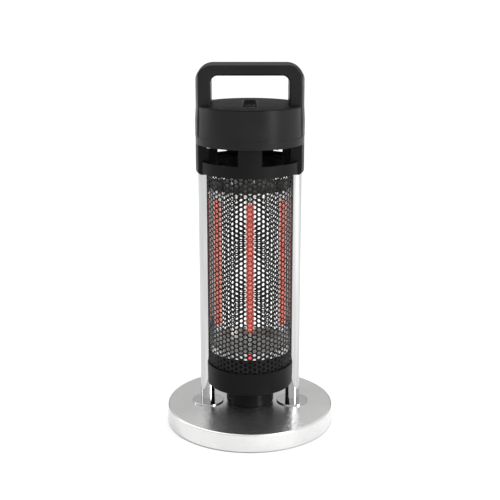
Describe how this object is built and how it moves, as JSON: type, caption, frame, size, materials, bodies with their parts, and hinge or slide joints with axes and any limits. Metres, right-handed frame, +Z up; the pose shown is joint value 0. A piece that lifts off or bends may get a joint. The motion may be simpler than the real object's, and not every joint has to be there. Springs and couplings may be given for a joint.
{
  "type": "patio heater",
  "caption": "Portable electric patio heater: quartz lamps behind a perforated guard between two chrome posts on a round weighted base, with a carrying handle and a rocker switch.",
  "frame": {"origin": "centre of the footprint, on the floor under the rubber feet", "axes": "+Z up, -Y the front with the rocker switch, +X to the right seen from the front"},
  "size_m": [0.28, 0.28, 0.6035],
  "materials": {
    "brushed_stainless": "circular brushed stainless steel",
    "ballast_iron": "as cast, painted",
    "zinc_steel": "zinc plated",
    "chrome_posts": "polished chrome",
    "foot_rubber": "matt rubber",
    "black_plastic": "satin moulded black",
    "grip_plastic": "satin moulded black",
    "gland_nylon": "moulded nylon",
    "guard_steel": "black heat-proof enamel",
    "reflector_steel": "bright rolled steel",
    "ceramic": "dark glazed ceramic",
    "quartz": "clear quartz",
    "heating_element": "glowing carbon coil",
    "lead_sleeve": "woven glass fibre",
    "red_lens": "translucent red",
    "switch_plastic": "polished black",
    "switch_case": "moulded thermoset",
    "thermostat_metal": "pressed aluminium"
  },
  "bodies": {
    "heater": {"base_ballast": "ballast_iron", "base_cover": "brushed_stainless", "bottom_plate": "zinc_steel", "bottom_screws": "zinc_steel", "cable_gland": "gland_nylon", "centre_conduit": "reflector_steel", "cup_screws": "zinc_steel", "front_guard": "guard_steel", "front_heating_element": "heating_element", "front_lower_holder": "ceramic", "front_quartz_tube": "quartz", "front_upper_holder": "ceramic", "gland_cap": "gland_nylon", "grip_screws": "zinc_steel", "handle_grip": "grip_plastic", "head_screws": "zinc_steel", "heat_shield": "reflector_steel", "lamp_lead_sleeves": "lead_sleeve", "left_heating_element": "heating_element", "left_lower_holder": "ceramic", "left_post": "chrome_posts", "left_post_flange": "chrome_posts", "left_quartz_tube": "quartz", "left_upper_holder": "ceramic", "lower_cup": "black_plastic", "lower_reflector": "reflector_steel", "middle_ring": "black_plastic", "pedestal": "black_plastic", "pedestal_screws": "zinc_steel", "pilot_lens": "red_lens", "post_bolts": "zinc_steel", "post_plugs": "zinc_steel", "rear_guard": "guard_steel", "right_heating_element": "heating_element", "right_lower_holder": "ceramic", "right_post": "chrome_posts", "right_post_flange": "chrome_posts", "right_quartz_tube": "quartz", "right_upper_holder": "ceramic", "rubber_feet": "foot_rubber", "switch_bezel": "switch_plastic", "switch_case": "switch_case", "terminal_block": "switch_case", "thermal_cutout": "thermostat_metal", "tilt_switch": "switch_case", "top_cover": "black_plastic", "upper_housing": "black_plastic", "upper_lamp_plate": "reflector_steel", "vent_collar": "black_plastic"},
    "rocker": {"switch_rocker": "switch_plastic"}
  },
  "joints": [
    {"name": "rocker_tilt", "type": "hinge", "parent": "heater", "child": "rocker", "pos_m": [0, -0.04546, 0.54156], "axis": [1, 0, 0], "range_deg": [-16, 0]}
  ]
}
